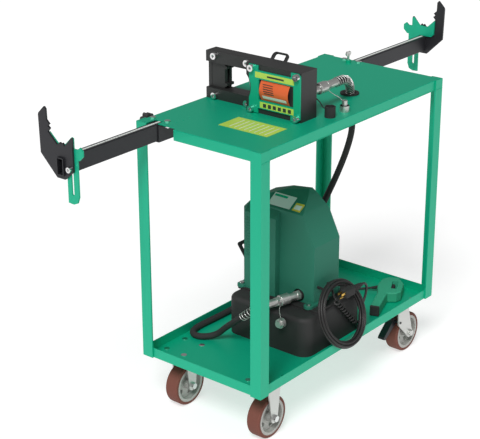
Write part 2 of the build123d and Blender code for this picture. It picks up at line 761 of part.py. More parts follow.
# guard plate: four ears, a round left side that follows the recess, and a window
guard_mid_y = (guard_screws[0][1] + guard_screws[2][1]) / 2
guard_half = (guard_screws[2][1] - guard_screws[0][1]) / 2
with BuildPart() as guard_plate:
    with BuildSketch(side_plane(block_front_x - guard_wall)):
        with Locations((guard_mid_y, axis_z)):
            Rectangle(2 * guard_half + 22, head_height - 4)
            with GridLocations(0, head_height - 4, 1, 2):
                Rectangle(2 * guard_half - 44, 30, mode=Mode.SUBTRACT)
        with Locations((recess_mid_y, axis_z)):
            Circle(recess_r + 6, mode=Mode.SUBTRACT)
        with Locations((guard_mid_y - 6, axis_z)):
            Rectangle(2 * guard_half - 38, 62, mode=Mode.SUBTRACT)
    extrude(amount=guard_wall)
    chamfer(guard_plate.edges().filter_by(Axis.X).group_by(Axis.Y)[0], 8)
    for x, y, z in guard_screws:
        with BuildSketch(facing(x - 1, y, z, (1, 0, 0), across=(0, 1, 0))):
            Circle(screw_shank_r)
        extrude(amount=guard_wall + 2, mode=Mode.SUBTRACT)
finish(guard_plate, "guard_plate")

# carrying handle at the back: a strap on the back face that leans out into a finger loop
handle_width = 58.0
handle_wall = 5.0
handle_foot = 26.0
handle_reach = 44.0
handle_window = (38.0, 34.0)
handle_root = table_top + head_height - 18
lean_plane = facing(head_back_x, -5, handle_root, (1, 0, -1), across=(0, 1, 0))
with BuildPart() as head_handle:
    with BuildSketch(facing(head_back_x, -5, handle_root - handle_foot / 2, (1, 0, 0), across=(0, 1, 0))):
        Rectangle(handle_width, handle_foot)
    extrude(amount=handle_wall)
    with BuildSketch(lean_plane):
        with Locations((0, handle_reach / 2 - 8)):
            RectangleRounded(handle_width, handle_reach + 16, 12)
        with Locations((0, handle_reach / 2)):
            RectangleRounded(*handle_window, 6, mode=Mode.SUBTRACT)
    extrude(amount=handle_wall)
    with Locations(at(head_back_x, -5, handle_root)):
        Box(100, 200, 200, align=(Align.MAX, Align.CENTER, Align.CENTER), mode=Mode.SUBTRACT)
finish(head_handle, "head_handle")

# ---------------------------------------------------------------- couplers and hose
port_z = table_top + port_height
turn = radians(pump_port_turn)
ports = {
    "head": facing(head_back_x, port_y, port_z, (1, 0, 0), across=(0, 1, 0)),
    "pump": facing(shroud_front_x, pump_port_y, pump_port_z, (-cos(turn), sin(turn), 0), across=(0, 0, 1)),
}
with BuildPart() as couplers:
    for port in ports.values():
        with BuildSketch(port.offset(-thread_depth)):
            Circle(port_r)
        extrude(amount=thread_depth + 1)
        with BuildSketch(port):
            RegularPolygon(radius=coupler_r + 4, side_count=6)
        extrude(amount=12)
        with BuildSketch(port.offset(11)):
            Circle(coupler_r)
        extrude(amount=coupler_length - 11)
finish(couplers, "couplers")

for name, port in ports.items():
    with BuildPart() as collar:
        with BuildSketch(port.offset(coupler_length - collar_length)):
            Circle(collar_r)
            Circle(coupler_r + collar_gap, mode=Mode.SUBTRACT)
        extrude(amount=collar_length)
        fillet(collar.edges().filter_by(GeomType.CIRCLE).group_by(SortBy.RADIUS)[-1], 2)
    finish(collar, f"{name}_collar")

with BuildPart() as hose_fittings:
    for port in ports.values():
        with BuildSketch(port.offset(coupler_length)):
            Circle(ferrule_r)
        extrude(amount=ferrule_length)
        with BuildSketch(port.offset(coupler_length + 6)):
            RegularPolygon(radius=ferrule_r + 2.5, side_count=6)
        extrude(amount=9)
finish(hose_fittings, "hose_fittings")

with BuildPart() as hose_grommet:
    with BuildSketch(Plane(at(grommet_x, grommet_y, shelf_under - grommet_lip))):
        Circle(grommet_bore_r + 3.5)
        Circle(grommet_bore_r, mode=Mode.SUBTRACT)
    extrude(amount=sheet + 2 * grommet_lip)
    for start, height in ((table_top, grommet_lip), (shelf_under, -grommet_lip)):
        with BuildSketch(Plane(at(grommet_x, grommet_y, start))):
            Circle(grommet_r)
            Circle(grommet_bore_r, mode=Mode.SUBTRACT)
        extrude(amount=height)
finish(hose_grommet, "hose_grommet")


def cord_path(route):
    """Straight runs joined by arcs as large as the runs allow; returns the line and its radii."""
    points = [Vector(*at(*place)) for place in route]
    radii = []
    for before, corner, after in zip(points, points[1:], points[2:]):
        run_in = corner - before
        run_out = after - corner
        half_turn = radians(run_in.get_angle(run_out)) / 2
        radii.append(0.45 * min(run_in.length, run_out.length) / tan(half_turn))
    return FilletPolyline(*points, radius=radii), radii


def cord_tube(name, route, radius):
    """Write a round cord along its route and print its bends, length and volume."""
    line, radii = cord_path(route)
    with BuildPart() as tube:
        with BuildSketch(Plane(origin=line @ 0, z_dir=line % 0)) as section:
            Circle(radius)
        sweep(section.sketch, path=line)
    finish(tube, name)
    expected = pi * radius ** 2 * line.length
    print(name, "radii", [round(value) for value in radii], "length", round(line.length))
    print(name, "volume over section times length", round(tube.part.volume / expected, 3))


hose_out = coupler_length + ferrule_length
tray_hose_z = tray_floor + hose_r + 0.4
hose_route = [
    (head_back_x + hose_out, port_y, port_z),
    (52, port_y, port_z),
    (82, -124, port_z - 9),
    (108, -116, port_z - 29),
    (129, -105, 955),
    (140, -98, 918),
    (147, -99, 878),
    (150, -104, 826),
    (147, -86, 752),
    (143, -60, 680),
    (141, -28, 606),
    (140, 8, 530),
    (141, 46, 454),
    (140, 82, 384),
    (137, 116, 320),
    (129, 148, 264),
    (112, 175, 226),
    (82, 194, 206),
    (38, 203, tray_hose_z),
    (-22, 205, tray_hose_z),
    (-95, 202, tray_hose_z),
    (-170, 205, tray_hose_z),
    (-207, 206.5, tray_hose_z),
    (-229, 206, tray_hose_z),
    (-250, 203, tray_hose_z),
    (-268, 194, tray_hose_z),
    (-278, 177, tray_hose_z),
    (-276, 157, tray_hose_z),
    (-265, 141, tray_hose_z + 0.5),
    (-252, 126, tray_hose_z + 3),
    (-243, 106, 216),
    (-243, 82, 241),
    (-248, 48, 270),
    (-253, 16, 296),
    (-254, -10, 317),
    (-249, -32, 336),
    (-86 - (hose_out + 24) * cos(turn), pump_port_y + (hose_out + 24) * sin(turn), pump_port_z),
    (-86 - hose_out * cos(turn), pump_port_y + hose_out * sin(turn), pump_port_z),
]
cord_tube("hydraulic_hose", hose_route, hose_r)

# dust caps: a rubber cup and a metal cap on the shelf, a metal cap hanging at the pump
with BuildPart() as dust_caps:
    with BuildSketch(Plane(at(-83, -184, table_top))):
        Circle(16)
    extrude(amount=32)
    with BuildSketch(Plane(at(-83, -184, table_top + 32))):
        Circle(12.5)
    extrude(amount=-28, mode=Mode.SUBTRACT)
    with BuildSketch(Plane(at(-15, -187, table_top))):
        Circle(14)
    extrude(amount=19)
    with BuildSketch(Plane(at(-15, -187, table_top + 19))):
        Circle(8)
    extrude(amount=14)
    cap_plane = facing(-190, -100, 296, (-1, 0, 0), across=(0, 1, 0))
    with BuildSketch(cap_plane):
        Circle(15)
    extrude(amount=14)
    with BuildSketch(cap_plane.offset(14)):
        RegularPolygon(radius=10, side_count=6)
    extrude(amount=8)
finish(dust_caps, "dust_caps")

# ---------------------------------------------------------------- pump
tank_mid_x = tank_x + tank_length / 2
tank_mid_y = tank_y + tank_width / 2
shroud_mid_x = shroud_front_x + shroud_depth / 2
shroud_far_y = shroud_near_y + shroud_width
cover_x = 186.0
cover_y = 296.0
tab_r = 15.0
tab_bolt_r = 4.0
tab_height = 8.0
tabs = [
    (shroud_front_x - 20, shroud_near_y + 4),
    (shroud_front_x - 20, shroud_far_y - 8),
    (shroud_front_x + shroud_depth + 12, shroud_near_y + 20),
    (shroud_front_x + shroud_depth + 12, shroud_far_y - 20),
]

with BuildPart(Plane(at(tank_mid_x, tank_mid_y, tray_floor))) as pump_tank:
    with BuildSketch(Plane(at(tank_mid_x, tank_mid_y, tray_floor))):
        RectangleRounded(tank_length, tank_width, tank_corner_r)
    extrude(amount=tank_height)
    fillet(pump_tank.faces().sort_by(Axis.Z)[-1].edges(), tank_edge_r)
    with BuildSketch(Plane(at(tank_mid_x, tank_mid_y, tray_floor + tank_wall))):
        RectangleRounded(tank_length - 2 * tank_wall, tank_width - 2 * tank_wall, tank_corner_r - tank_wall)
    extrude(amount=tank_height - tank_edge_r - tank_wall, mode=Mode.SUBTRACT)
    with BuildSketch(Plane(at(shroud_mid_x, tank_mid_y, tank_top + 1))):
        Rectangle(cover_x - 60, cover_y - 60)
    extrude(amount=-3 * tank_edge_r, mode=Mode.SUBTRACT)
finish(pump_tank, "pump_tank")

pump_body_height = 60.0
with BuildPart(Plane(at(shroud_mid_x, tank_mid_y, tank_top))) as pump_block:
    Box(cover_x, cover_y, cover_wall, align=(Align.CENTER, Align.CENTER, Align.MIN))
    fillet(pump_block.edges().filter_by(Axis.Z), 12)
    with Locations((0, 0, cover_wall)):
        Box(90, 190, pump_body_height, align=(Align.CENTER, Align.CENTER, Align.MIN))
    with BuildSketch(ports["pump"]):
        Circle(port_r + 7)
    extrude(amount=-60)
    with BuildSketch(ports["pump"]):
        Circle(port_r)
    extrude(amount=-thread_depth, mode=Mode.SUBTRACT)
    with Locations(*[(x - shroud_mid_x, y - tank_mid_y, 0) for x, y in tabs]):
        Cylinder(tab_r - 2, cover_wall, align=(Align.CENTER, Align.CENTER, Align.MIN))
        Cylinder(tab_bolt_r, 30, mode=Mode.SUBTRACT)
finish(pump_block, "pump_block")

with BuildPart(Plane(at(shroud_mid_x, 40, cover_top + pump_body_height))) as pump_motor:
    Cylinder(motor_r, motor_length, align=(Align.CENTER, Align.CENTER, Align.MIN))
    Cylinder(18, motor_length + 20, align=(Align.CENTER, Align.CENTER, Align.MIN))
finish(pump_motor, "pump_motor")


def shroud_form(inset, step_low, step_high, front):
    """Closed form of the shroud, or of the space inside it when inset is the wall."""
    base = cover_top
    peak = base + shroud_height
    knee = base + shroud_knee
    with BuildPart() as form:
        with BuildSketch(side_plane(front)):
            with BuildLine():
                Polyline((step_low, base - 60), (step_low, knee), (shroud_near_y + 47, base + 288),
                         (shroud_near_y + 72, base + 324), (shroud_near_y + 85, peak), (20, peak - 12),
                         (100, peak - 42), (step_high, base + 262), (step_high, base - 60), close=True)
            make_face()
            offset(amount=-inset)
        extrude(amount=2 * shroud_depth)
        with BuildSketch(front_plane(shroud_near_y - 60)):
            with BuildLine():
                Polyline((front, base - 60), (front, base + 285), (shroud_front_x + 86, peak + 1),
                         (shroud_front_x + 100, peak + 1), (shroud_front_x + shroud_depth, base + 272),
                         (shroud_front_x + shroud_depth, base - 60), close=True)
            make_face()
            offset(amount=-inset)
        extrude(amount=-2 * shroud_width, mode=Mode.INTERSECT)
        with Locations(at(0, 0, base)):
            Box(3000, 3000, 400, align=(Align.CENTER, Align.CENTER, Align.MAX), mode=Mode.SUBTRACT)
    return form.part


step_y_low = -8.0
step_y_high = 112.0
bulge_height = 258.0
shroud_body = shroud_form(0, shroud_near_y, shroud_far_y, shroud_front_x)
shroud_space = shroud_form(shroud_wall, shroud_near_y, shroud_far_y, shroud_front_x)
with BuildPart() as pump_shroud:
    add(shroud_body)
    # the front bulge over the motor
    for inset, mode in ((0, Mode.ADD), (shroud_wall, Mode.SUBTRACT)):
        bulge_x = shroud_front_x - shroud_step + inset
        with BuildSketch(front_plane(step_y_low + inset)):
            with BuildLine():
                Polyline((bulge_x, cover_top), (bulge_x, cover_top + bulge_height - inset),
                         (shroud_front_x, cover_top + bulge_height + shroud_step - inset),
                         (shroud_front_x + 2 * inset + 1, cover_top + bulge_height + shroud_step - inset),
                         (shroud_front_x + 2 * inset + 1, cover_top), close=True)
            make_face()
        extrude(amount=-(step_y_high - step_y_low - 2 * inset), mode=mode)
    for x, y in tabs:
        with BuildSketch(Plane(at(0, 0, cover_top))):
            with Locations((x, y)):
                Circle(tab_r)
            with Locations(((x + shroud_mid_x) / 2, y)):
                Rectangle(abs(x - shroud_mid_x), 2 * tab_r - 2)
        extrude(amount=tab_height)
    add(shroud_space, mode=Mode.SUBTRACT)
    with BuildSketch(Plane(at(0, 0, cover_top))):
        with Locations(*tabs):
            Circle(tab_bolt_r + bolt_clearance)
    extrude(amount=tab_height, mode=Mode.SUBTRACT)
    with BuildSketch(ports["pump"].offset(30)):
        Circle(coupler_r + 8)
    extrude(amount=-60, mode=Mode.SUBTRACT)
finish(pump_shroud, "pump_shroud")

# folding handle on the far side of the shroud
handle_z = cover_top + 84
handle_half = 42.0
handle_out_y = 36.0
with BuildPart() as carry_handle:
    with BuildSketch(facing(shroud_mid_x, shroud_far_y + 11, handle_z, (0, 0.8, -0.6), across=(1, 0, 0))):
        with Locations((0, -handle_out_y / 2)):
            RectangleRounded(2 * handle_half + 16, handle_out_y + 24, 8)
            RectangleRounded(2 * handle_half - 8, handle_out_y, 5, mode=Mode.SUBTRACT)
    extrude(amount=2.5, both=True)
finish(carry_handle, "carry_handle")

# screws that hold the shroud and the cover plate to the tank
with BuildPart() as shroud_bolts:
    for x, y in tabs:
        with BuildSketch(Plane(at(x, y, cover_top + tab_height))):
            Circle(8)
        extrude(amount=6)
        with BuildSketch(Plane(at(x, y, cover_top + tab_height))):
            Circle(tab_bolt_r)
        extrude(amount=-(tab_height + cover_wall))
finish(shroud_bolts, "shroud_bolts")

# ---------------------------------------------------------------- hand control on the tray
control_z = tray_floor + 1.6
control_thick = 34.0
control_turn = radians(28)
trigger_place = (378, -122)
trigger_plane = Plane(origin=at(*trigger_place, control_z), x_dir=(cos(control_turn), sin(control_turn), 0),
                      z_dir=(0, 0, 1))
with BuildPart() as pendant_body:
    with BuildSketch(Plane(at(0, 0, control_z))):
        with BuildLine():
            Polyline((208, -186), (198, -158), (300, -118), (340, -90), (356, -82), (398, -72), (424, -82),
                     (438, -112), (408, -150), (352, -176), (330, -172), (312, -148), close=True)
        make_face()
    extrude(amount=control_thick)
    fillet(pendant_body.edges().filter_by(Axis.Z), 6)
    fillet(pendant_body.faces().sort_by(Axis.Z)[-1].edges(), 5)
    fillet(pendant_body.faces().sort_by(Axis.Z)[0].edges(), 3)
    # the gap inside the guard, and the pocket the trigger slides into
    with BuildSketch(trigger_plane.offset(-1)):
        with Locations((-4, -10)):
            RectangleRounded(58, 20, 2.8)
    extrude(amount=control_thick + 2, mode=Mode.SUBTRACT)
    with Locations(trigger_plane.offset(control_thick / 2) * Location((0, 8, 0))):
        Box(45, 17, 15, mode=Mode.SUBTRACT)
finish(pendant_body, "pendant_body")

with BuildPart() as pendant_trigger:
    with Locations(trigger_plane.offset(control_thick / 2) * Location((0, 1, 0))):
        Box(44, 21, 14)
        fillet(pendant_trigger.edges().filter_by(Axis.Z), 2.5)
finish(pendant_trigger, "pendant_trigger")

# ---------------------------------------------------------------- cords of the pump
coil_z = 296.0
coil_mid = (-26, -206)
coil_plane = facing(*coil_mid, coil_z, (0, -cos(radians(coil_tilt)), sin(radians(coil_tilt))), across=(1, 0, 0))
plug_y = -208.0
plug_z = 361.0
plug_front_x = -25.0
plug_back_x = 69.0
lead_x = -66.0
lead_z = 380.0
with BuildPart() as power_cord_coil:
    with Locations(coil_plane):
        Torus(coil_r, coil_bundle_r)
finish(power_cord_coil, "power_cord_coil")

with BuildPart() as power_plug:
    with BuildSketch(side_plane(plug_front_x)):
        with Locations((plug_y, plug_z)):
            RectangleRounded(28, 26, 8)
    extrude(amount=46)
    with BuildSketch(side_plane(plug_front_x + 46)):
        with Locations((plug_y, plug_z)):
            Circle(10)
    with BuildSketch(side_plane(plug_back_x)):
        with Locations((plug_y, plug_z)):
            Circle(cord_r + 1.5)
    loft()
    with BuildSketch(side_plane(plug_front_x)):
        with Locations((plug_y - 6.5, plug_z + 5), (plug_y + 6.5, plug_z + 5)):
            Rectangle(1.8, 6.5)
        with Locations((plug_y, plug_z - 7)):
            Circle(2.4)
    extrude(amount=-20)
finish(power_plug, "power_plug")

cord_on_tray = tray_floor + control_cord_r + 0.4
curl_start = (-46, -193, 340)
curl_end = (58, -193, 232)
cord_tube("pendant_cord_curl", [curl_start, (6, -192.5, 290), curl_end], curl_r)

control_entry = (363, -84.5, control_z + control_thick / 2)
lead_route = [(-16, shroud_near_y, 376), (-16, shroud_near_y - 16, 376), (-28, -168, 362), curl_start]
control_route = [
    curl_end,
    (74, -193, 213),
    (96, -189, 201),
    (120, -174, cord_on_tray),
    (136, -148, cord_on_tray),
    (145, -112, cord_on_tray),
    (160, -70, cord_on_tray),
    (186, -30, cord_on_tray),
    (222, 2, cord_on_tray),
    (262, 18, cord_on_tray),
    (300, 10, cord_on_tray),
    (328, -16, cord_on_tray + 1),
    (346, -46, 202),
    (357, -68, 206),
    control_entry,
]
plug_route = [
    (plug_back_x, plug_y, plug_z),
    (86, plug_y, plug_z),
    (99, -208, 348),
    (102, -206, 328),
    (95, -205, 308),
    (80, -206, 296),
    (66, -206, 290),
]
power_lead_route = [(lead_x, shroud_near_y, lead_z), (lead_x, -172, lead_z)]

# short runs: the hand control's cord to its curled length and on, the power cord to its coil and its plug
cord_lines = []
for name, route, radius in (("control lead", lead_route, control_cord_r),
                            ("control run", control_route, control_cord_r), ("plug tail", plug_route, cord_r)):
    line, radii = cord_path(route)
    print("pump_cords", name, "radii", [round(value) for value in radii], "length", round(line.length))
    cord_lines.append((line, radius))
cord_lines.append((Line(*[at(*place) for place in power_lead_route]), cord_r))
with BuildPart() as pump_cords:
    for line, radius in cord_lines:
        with BuildSketch(Plane(origin=line @ 0, z_dir=line % 0)) as section:
            Circle(radius)
        sweep(section.sketch, path=line)
finish(pump_cords, "pump_cords")

# ---------------------------------------------------------------- bolts of the table
with BuildPart() as table_bolts:
    down_bolts(sleeve_bolt_places, table_top, sheet + sleeve_wall, bolt_r)
    down_bolts(caster_bolt_places, tray_floor, sheet + caster_plate_wall, caster_bolt_r, flat_head=True)
    for x, y in head_bolt_places:
        with BuildSketch(Plane(at(x, y, shelf_under))):
            RegularPolygon(radius=11, side_count=6)
        extrude(amount=-7)
        with BuildSketch(Plane(at(x, y, shelf_under))):
            Circle(6)
        extrude(amount=sheet + 16)
    for side in (-1, 1):
        axle_bolt(rigid_x, side * caster_y)
finish(table_bolts, "table_bolts")
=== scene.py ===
"""Looks of the strut shear table: finishes, cords, small trim, camera and light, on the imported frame."""

import json
import logging
import math
from dataclasses import dataclass
from enum import Enum
from typing import Callable, Sequence

import bpy
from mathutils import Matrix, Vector


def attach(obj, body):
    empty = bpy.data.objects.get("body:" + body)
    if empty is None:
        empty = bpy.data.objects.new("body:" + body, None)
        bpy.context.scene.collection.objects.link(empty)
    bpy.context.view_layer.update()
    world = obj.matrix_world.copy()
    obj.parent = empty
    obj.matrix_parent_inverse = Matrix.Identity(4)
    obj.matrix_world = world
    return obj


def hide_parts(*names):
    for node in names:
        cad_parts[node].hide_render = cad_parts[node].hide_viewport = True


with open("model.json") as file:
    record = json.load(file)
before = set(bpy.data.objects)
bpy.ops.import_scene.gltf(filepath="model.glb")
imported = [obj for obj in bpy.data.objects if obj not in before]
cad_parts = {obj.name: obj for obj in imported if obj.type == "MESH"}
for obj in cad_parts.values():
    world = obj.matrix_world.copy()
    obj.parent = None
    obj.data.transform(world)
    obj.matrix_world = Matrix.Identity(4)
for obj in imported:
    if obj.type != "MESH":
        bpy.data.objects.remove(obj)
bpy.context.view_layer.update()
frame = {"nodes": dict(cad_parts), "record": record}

log = logging.getLogger("shear_table")
Point = tuple[float, float, float]

TABLE_X = -34.0
TABLE_Y = -14.45
TOP = 938.0
TRAY = 190.7
PLUG_Y, PLUG_Z = -208.0, 361.0


def at(x: float, y: float, z: float) -> Vector:
    """A place given in millimetres from the table's centre on the floor.

    Args:
        x: Distance along the table.
        y: Distance across the table.
        z: Height above the floor.

    Returns:
        The place in metres, in the shared frame.
    """
    return Vector(((TABLE_X + x) / 1000, (TABLE_Y + y) / 1000, z / 1000))


# ---------------------------------------------------------------- shader maths
class Graph:
    """A material's node tree, with the object coordinates ready to use."""

    def __init__(self, name: str) -> None:
        """Make an empty material.

        Args:
            name: The material's name.
        """
        self.material = bpy.data.materials.new(name)
        self.material.use_nodes = True
        self.tree = self.material.node_tree
        self.shader = self.tree.nodes["Principled BSDF"]

    def node(self, kind: str, inputs: dict | None = None, **settings: object) -> bpy.types.Node:
        """Make any node.

        Args:
            kind: The node's type name without its "ShaderNode" prefix.
            inputs: Values or wires for its input sockets, by name or place.
            settings: The node's own settings.

        Returns:
            The new node.
        """
        made = self.tree.nodes.new("ShaderNode" + kind)
        for key, value in settings.items():
            setattr(made, key, value)
        for key, value in (inputs or {}).items():
            self.feed(made.inputs[key], value)
        return made

    def feed(self, socket: bpy.types.NodeSocket, value: object) -> None:
        """Link a wire to a socket, or set the socket's constant.

        Args:
            socket: The input socket.
            value: A Wire, or the socket's constant.
        """
        if isinstance(value, Wire):
            self.tree.links.new(value.socket, socket)
        else:
            socket.default_value = value

    def place(self) -> "Wire":
        """Object coordinates in metres.

        Returns:
            The coordinates as a wire.
        """
        return Wire(self, self.node("TexCoord").outputs["Object"])

    def noise(self, scale: float, detail: float = 3.0, stretch: Point = (1, 1, 1)) -> "Wire":
        """Noise over the object coordinates.

        Args:
            scale: Features per metre.
            detail: Octaves.
            stretch: Factors along X, Y and Z.

        Returns:
            Noise from 0 to 1.
        """
        spread = self.node("Mapping", {"Vector": self.place(), "Scale": stretch})
        place = Wire(self, spread.outputs[0])
        made = self.node("TexNoise", {"Vector": place, "Scale": scale, "Detail": detail})
        return Wire(self, made.outputs["Fac"])

    def mix(self, share: "Wire", low: Sequence[float], high: Sequence[float]) -> "Wire":
        """Blend two colours.

        Args:
            share: How much of the second colour, from 0 to 1.
            low: The first colour, or a wire.
            high: The second colour, or a wire.

        Returns:
            The blended colour.
        """
        made = self.node("Mix", data_type="RGBA")
        for socket, value in ((made.inputs[0], share), (made.inputs[6], low), (made.inputs[7], high)):
            self.feed(socket, value if isinstance(value, Wire) else (*value, 1.0)[:4])
        return Wire(self, made.outputs[2])

    def bump(self, height: "Wire", distance: float, strength: float = 0.5) -> "Wire":
        """A bumped normal.

        Args:
            height: Height from 0 to 1.
            distance: Height in metres.
            strength: Share of the effect.

        Returns:
            The normal.
        """
        made = self.node("Bump", {"Height": height, "Distance": distance, "Strength": strength})
        return Wire(self, made.outputs[0])


class Wire:
    """An output socket that takes part in sums."""

    def __init__(self, graph: Graph, socket: bpy.types.NodeSocket) -> None:
        """Wrap a socket.

        Args:
            graph: The graph it belongs to.
            socket: The output socket.
        """
        self.graph = graph
        self.socket = socket

    def math(self, operation: str, *others: object) -> "Wire":
        """Apply a maths node with this wire first.

        Args:
            operation: The maths node's operation.
            others: The other operands.

        Returns:
            The result.
        """
        made = self.graph.node("Math", {i: v for i, v in enumerate((self, *others))}, operation=operation)
        return Wire(self.graph, made.outputs[0])

    def axis(self, name: str) -> "Wire":
        """One coordinate of a vector wire.

        Args:
            name: X, Y or Z.

        Returns:
            That coordinate.
        """
        return Wire(self.graph, self.graph.node("SeparateXYZ", {0: self}).outputs[name])

    def __add__(self, other: object) -> "Wire":
        return self.math("ADD", other)

    def __sub__(self, other: object) -> "Wire":
        return self.math("SUBTRACT", other)

    def __mul__(self, other: object) -> "Wire":
        return self.math("MULTIPLY", other)

    def __radd__(self, other: object) -> "Wire":
        return self.math("ADD", other)

    def __rmul__(self, other: object) -> "Wire":
        return self.math("MULTIPLY", other)

    def __rsub__(self, other: object) -> "Wire":
        return (self * -1.0).math("ADD", other)


# ---------------------------------------------------------------- finishes
class Grain(Enum):
    """How a surface's fine relief runs."""

    SPECKLE = "speckle"
    BRUSHED = "brushed"
    ORANGE_PEEL = "orange peel"


@dataclass(frozen=True)
class Finish:
    """One finish, made into a material on first use."""

    name: str
    color: Point
    worn: Point
    roughness: float
    metallic: float = 0.0
    coat: float = 0.0
    grain: Grain = Grain.SPECKLE
    relief: float = 0.00012
    scale: float = 700.0

    def material(self) -> bpy.types.Material:
        """The finish as a material.

        Returns:
            The material, shared between the pieces that use it.
        """
        found = bpy.data.materials.get(self.name)
        if found:
            return found
        g = Graph(self.name)
        stretch = (1, 1, 14) if self.grain is Grain.BRUSHED else (1, 1, 1)
        fine = g.noise(self.scale, 4.0, stretch)
        broad = g.noise(9.0, 4.0)
        wear = (broad - 0.45).math("MULTIPLY", 2.2).math("MAXIMUM", 0.0).math("MINIMUM", 1.0)
        g.feed(g.shader.inputs["Base Color"], g.mix(wear * 0.6, self.color, self.worn))
        g.feed(g.shader.inputs["Roughness"], fine * 0.12 + broad * 0.1 + (self.roughness - 0.11))
        g.shader.inputs["Metallic"].default_value = self.metallic
        g.shader.inputs["Specular IOR Level"].default_value = 0.32
        g.shader.inputs["Coat Weight"].default_value = self.coat
        g.shader.inputs["Coat Roughness"].default_value = 0.2
        g.feed(g.shader.inputs["Normal"], g.bump(fine, self.relief, 0.5))
        return g.material


TABLE_PAINT = Finish("table_paint", (0.0, 0.165, 0.082), (0.0, 0.19, 0.095), 0.4, coat=0.1,
                     grain=Grain.ORANGE_PEEL, scale=420)
ARM_BLACK = Finish("arm_black", (0.007, 0.007, 0.0075), (0.016, 0.016, 0.016), 0.4)
HEAD_BLACK = Finish("head_black", (0.009, 0.009, 0.009), (0.02, 0.019, 0.018), 0.42, 0.0,
                    grain=Grain.BRUSHED, scale=260)
ZINC = Finish("zinc", (0.55, 0.55, 0.53), (0.4, 0.4, 0.38), 0.32, 0.95, scale=500)
STEEL = Finish("hard_steel", (0.32, 0.32, 0.32), (0.22, 0.21, 0.2), 0.3, 0.95, grain=Grain.BRUSHED, scale=300)
SCREW = Finish("silver_screw", (0.72, 0.72, 0.7), (0.5, 0.5, 0.48), 0.22, 1.0)
MAROON = Finish("tyre_maroon", (0.12, 0.03, 0.02), (0.07, 0.022, 0.016), 0.42, scale=300)
RIM_GREY = Finish("wheel_grey", (0.42, 0.42, 0.4), (0.28, 0.27, 0.25), 0.5, scale=250, relief=0.0004)
RUBBER = Finish("rubber_black", (0.009, 0.0085, 0.008), (0.02, 0.019, 0.018), 0.5, scale=500)
CORD = Finish("cord_black", (0.022, 0.021, 0.021), (0.04, 0.038, 0.037), 0.42, scale=600)
SHROUD = Finish("shroud_green", (0.0, 0.088, 0.056), (0.0, 0.115, 0.074), 0.36, coat=0.15,
                grain=Grain.ORANGE_PEEL, scale=260, relief=0.0003)
TANK = Finish("tank_black", (0.012, 0.012, 0.012), (0.028, 0.027, 0.026), 0.38,
              grain=Grain.ORANGE_PEEL, scale=240, relief=0.0003)
CONTROL = Finish("control_green", (0.012, 0.25, 0.13), (0.016, 0.3, 0.16), 0.38,
                 grain=Grain.ORANGE_PEEL, scale=400)
KNOB = Finish("cast_knob", (0.02, 0.02, 0.02), (0.04, 0.04, 0.04), 0.5)
LIME = Finish("label_lime", (0.46, 0.66, 0.09), (0.4, 0.58, 0.07), 0.4, coat=0.3, scale=200, relief=0.00002)
WHITE = Finish("label_white", (0.72, 0.75, 0.72), (0.62, 0.65, 0.62), 0.45, scale=200, relief=0.00002)
YELLOW = Finish("label_yellow", (0.68, 0.56, 0.05), (0.6, 0.5, 0.05), 0.45, scale=200, relief=0.00002)
ORANGE = Finish("label_orange", (0.72, 0.13, 0.04), (0.62, 0.1, 0.03), 0.4, scale=200, relief=0.00002)
INK = Finish("label_ink", (0.03, 0.04, 0.035), (0.05, 0.06, 0.05), 0.6, scale=200, relief=0.00002)
BRASS = Finish("prong_brass", (0.72, 0.45, 0.1), (0.5, 0.3, 0.08), 0.3, 1.0)

SLOT_FINISH: dict[str, Finish] = {
    "table_paint": TABLE_PAINT,
    "arm_black": ARM_BLACK,
    "head_black": HEAD_BLACK,
    "zinc": ZINC,
    "hard_steel": STEEL,
    "cast_knob": KNOB,
    "tyre_maroon": MAROON,
    "wheel_grey": RIM_GREY,
    "rubber_black": RUBBER,
    "shroud_green": SHROUD,
    "tank_black": TANK,
    "control_green": CONTROL,
    "silver_screw": SCREW,
}


NODE_FINISH: dict[str, Finish] = {
    "guard_plate": TABLE_PAINT,
    "left_support_blade": TABLE_PAINT,
    "right_support_blade": TABLE_PAINT,
    "arm_sleeves": ARM_BLACK,
    "fixed_die": HEAD_BLACK,
    "pump_block": TANK,
}


def dress_cad_nodes() -> None:
    """Give every CAD node its finish: the one listed in NODE_FINISH, else that of its material slot."""
    for row in frame["record"]["subparts"]:
        piece = frame["nodes"][row["node"]]
        finish = NODE_FINISH.get(row["node"]) or SLOT_FINISH[row["material_slot"]]
        piece.data.materials.clear()
        piece.data.materials.append(finish.material())
        log.info("CAD node %s wears %s", row["node"], finish.name)


# ---------------------------------------------------------------- building blocks
def settle(piece: bpy.types.Object, name: str, finish: Finish, body: str = "table") -> bpy.types.Object:
    """Name a piece, apply its place, dress it and let it ride on a body.

    Args:
        piece: The new object.
        name: Its name.
        finish: Its finish.
        body: The CAD body that carries it.

    Returns:
        The same object.
    """
    bpy.ops.object.select_all(action="DESELECT")
    piece.select_set(True)
    bpy.context.view_layer.objects.active = piece
    if piece.type == "MESH":
        bpy.ops.object.transform_apply(location=True, rotation=True, scale=True)
    piece.name = name
    piece.data.name = name
    piece.data.materials.clear()
    piece.data.materials.append(finish.material())
    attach(piece, body)
    log.info("made %s on %s", name, body)
    return piece


